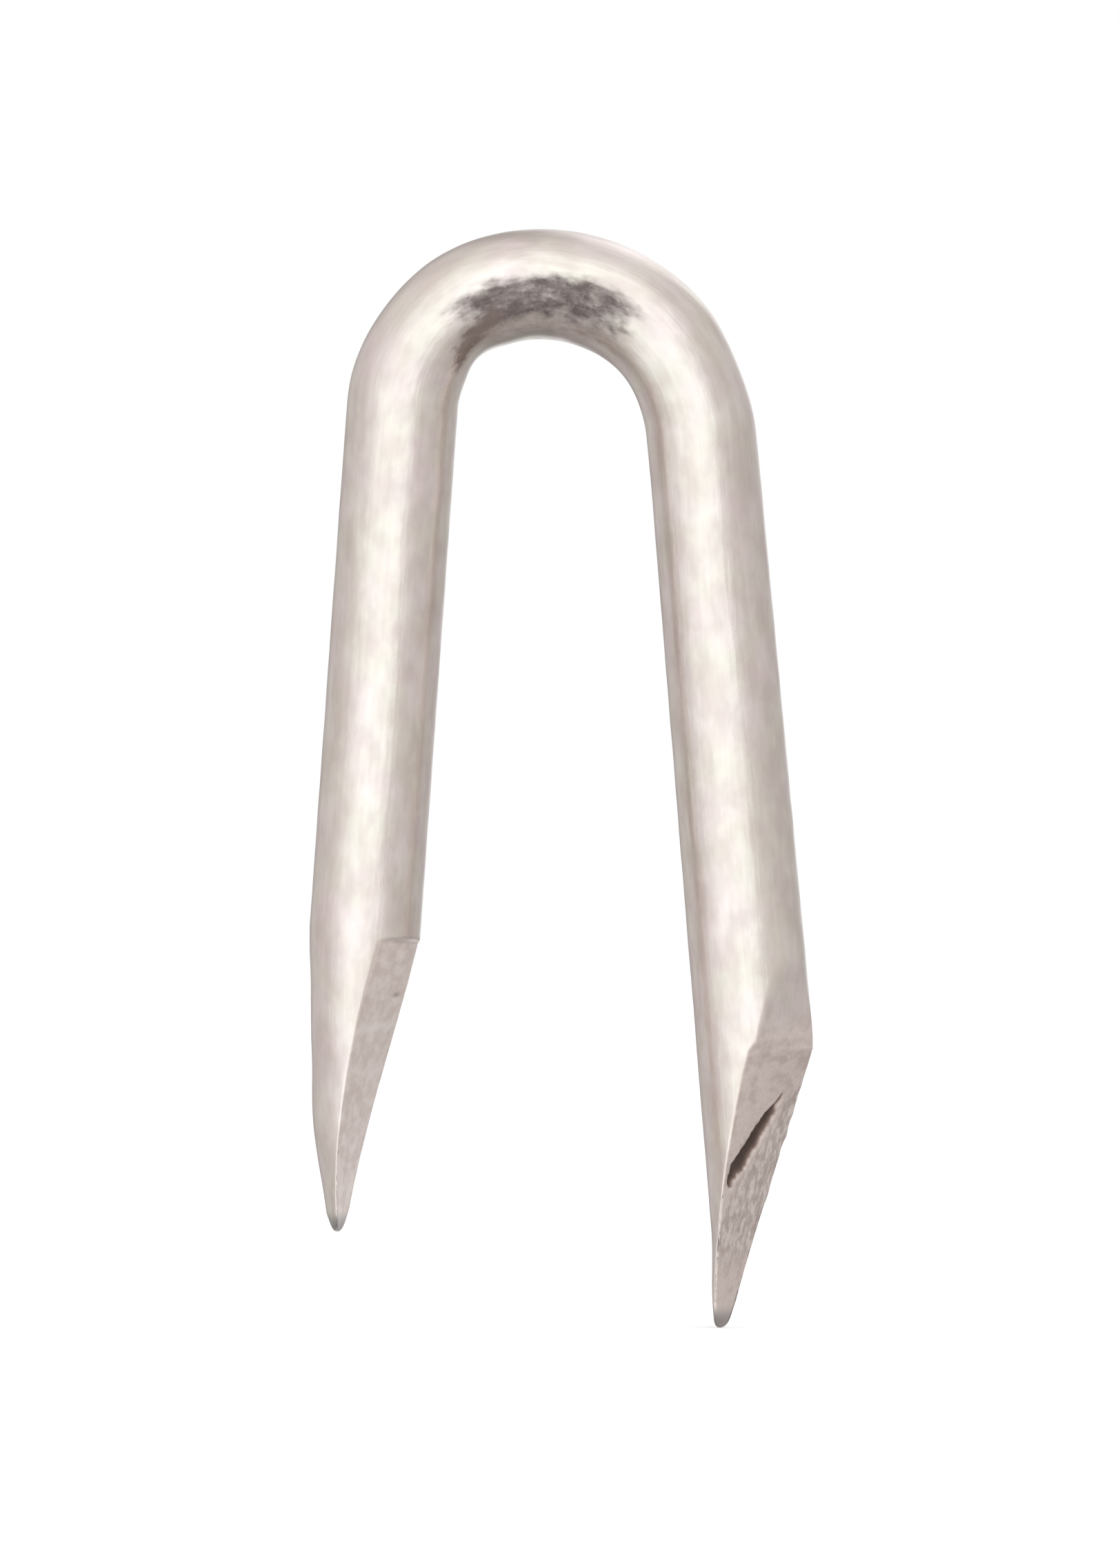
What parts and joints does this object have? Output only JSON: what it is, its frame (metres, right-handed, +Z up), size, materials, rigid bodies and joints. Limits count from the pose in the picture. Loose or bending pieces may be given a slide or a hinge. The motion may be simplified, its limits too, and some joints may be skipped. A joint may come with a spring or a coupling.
{
  "type": "fence staple",
  "caption": "Round galvanised wire bent to a U, with long slanting cuts that make sharp points, for pinning fence wire to a timber post.",
  "frame": {"origin": "highest point of the crown's inside, where the fence wire seats", "axes": "+Z up from the points to the crown, +X across the U towards the longer leg, Y along the fence wire"},
  "size_m": [0.0179, 0.004, 0.0398],
  "materials": {
    "zinc_coated_steel": "hot-dip galvanised, satin, faintly mottled, with duller sheared faces at the points"
  },
  "bodies": {
    "root": {"staple_wire": "zinc_coated_steel"}
  },
  "joints": []
}
